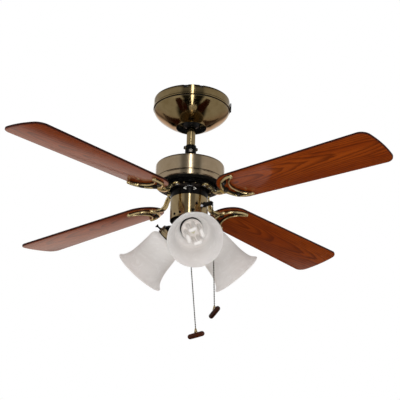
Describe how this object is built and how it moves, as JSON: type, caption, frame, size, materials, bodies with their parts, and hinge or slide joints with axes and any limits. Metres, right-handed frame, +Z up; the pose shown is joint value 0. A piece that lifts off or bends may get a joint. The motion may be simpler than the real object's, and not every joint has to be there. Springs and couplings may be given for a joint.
{
  "type": "ceiling fan with light",
  "caption": "Ceiling fan with short downrod, wood blades on cast irons, and a light kit of flared frosted glass shades with pull chains.",
  "frame": {"origin": "centre of the hanger bracket's strap on the ceiling plane, between its two outlet-box slots", "axes": "+Z up towards the ceiling, along the fan's axis; +Y away from the viewer of the front lamp; +X to the right"},
  "size_m": [0.851, 0.851, 0.5912],
  "materials": {
    "antique_brass": "satin antique brass, lacquered",
    "polished_brass": "polished antique brass",
    "black_metal": "gloss black paint",
    "black_plastic": "gloss black",
    "zinc_steel": "bright zinc plate",
    "steel_lamination": "stacked laminations",
    "copper_winding": "enamelled copper wire",
    "cherry_blade": "cherry veneer, satin lacquer",
    "cherry_fob": "dark cherry, gloss lacquer",
    "frosted_glass": "frosted alabaster glass",
    "lamp_white": "white lamp body and tubes",
    "white_nylon": "moulded nylon",
    "bead_chain": "antique brass bead chain",
    "bearing_steel": "ground steel",
    "grey_plastic": "moulded housing"
  },
  "bodies": {
    "ceiling_mount": {"hanger_bracket": "black_metal", "canopy": "polished_brass", "canopy_screws": "black_metal", "terminal_block": "white_nylon"},
    "rotor": {"rotor_top_bell": "black_metal", "flywheel": "black_metal", "motor_bearings": "bearing_steel", "blade_screws": "zinc_steel", "iron_screws": "zinc_steel", "blade_a": "cherry_blade", "blade_b": "cherry_blade", "blade_c": "cherry_blade", "blade_d": "cherry_blade", "blade_iron_a": "antique_brass", "blade_iron_b": "antique_brass", "blade_iron_c": "antique_brass", "blade_iron_d": "antique_brass"},
    "fan_pull": {"fan_chain": "bead_chain", "fan_chain_bell": "antique_brass", "fan_pull_bar": "cherry_fob"},
    "light_pull": {"light_chain": "bead_chain", "light_chain_bell": "antique_brass", "light_pull_bar": "cherry_fob"},
    "reverse_knob": {"reverse_slider": "white_nylon"},
    "fan_body": {"hanger_ball": "black_plastic", "ball_pin": "zinc_steel", "downrod": "antique_brass", "motor_coupling": "black_metal", "coupling_pin": "zinc_steel", "coupling_screws": "zinc_steel", "motor_shaft": "bearing_steel", "stator_core": "steel_lamination", "stator_windings": "copper_winding", "motor_housing": "antique_brass", "housing_ring": "antique_brass", "switch_plate": "black_metal", "switch_housing": "antique_brass", "switch_housing_screws": "black_metal", "fan_switch": "grey_plastic", "fan_chain_nozzle": "black_plastic", "reverse_switch": "grey_plastic", "capacitor": "grey_plastic", "light_switch": "grey_plastic", "light_chain_nozzle": "black_plastic", "lamp_sockets": "white_nylon", "shade_thumb_screws": "black_metal", "light_kit_cap": "antique_brass", "light_arms": "black_metal", "socket_cup_front": "black_metal", "shade_holder_front": "antique_brass", "shade_front": "frosted_glass", "bulb_front": "lamp_white", "socket_cup_right": "black_metal", "shade_holder_right": "antique_brass", "shade_right": "frosted_glass", "bulb_right": "lamp_white", "socket_cup_left": "black_metal", "shade_holder_left": "antique_brass", "shade_left": "frosted_glass", "bulb_left": "lamp_white"}
  },
  "joints": [
    {"name": "hanger_tilt", "type": "hinge", "parent": "ceiling_mount", "child": "fan_body", "pos_m": [0, 0, -0.046], "axis": [1, 0, 0], "range_deg": [-12, 12]},
    {"name": "rotor_spin", "type": "hinge", "parent": "fan_body", "child": "rotor", "pos_m": [0, 0, -0.2], "axis": [0, 0, 1], "continuous": true},
    {"name": "fan_chain_pull", "type": "slide", "parent": "fan_body", "child": "fan_pull", "axis": [0.0336, 0, -0.9994], "range_m": [0, 0.012], "stiffness_N_per_m": 400, "springref_m": -0.004},
    {"name": "light_chain_pull", "type": "slide", "parent": "fan_body", "child": "light_pull", "axis": [0.0931, 0, -0.9957], "range_m": [0, 0.012], "stiffness_N_per_m": 400, "springref_m": -0.004},
    {"name": "reverse_slide", "type": "slide", "parent": "fan_body", "child": "reverse_knob", "axis": [0, 0, 1], "range_m": [0, 0.0055]}
  ]
}
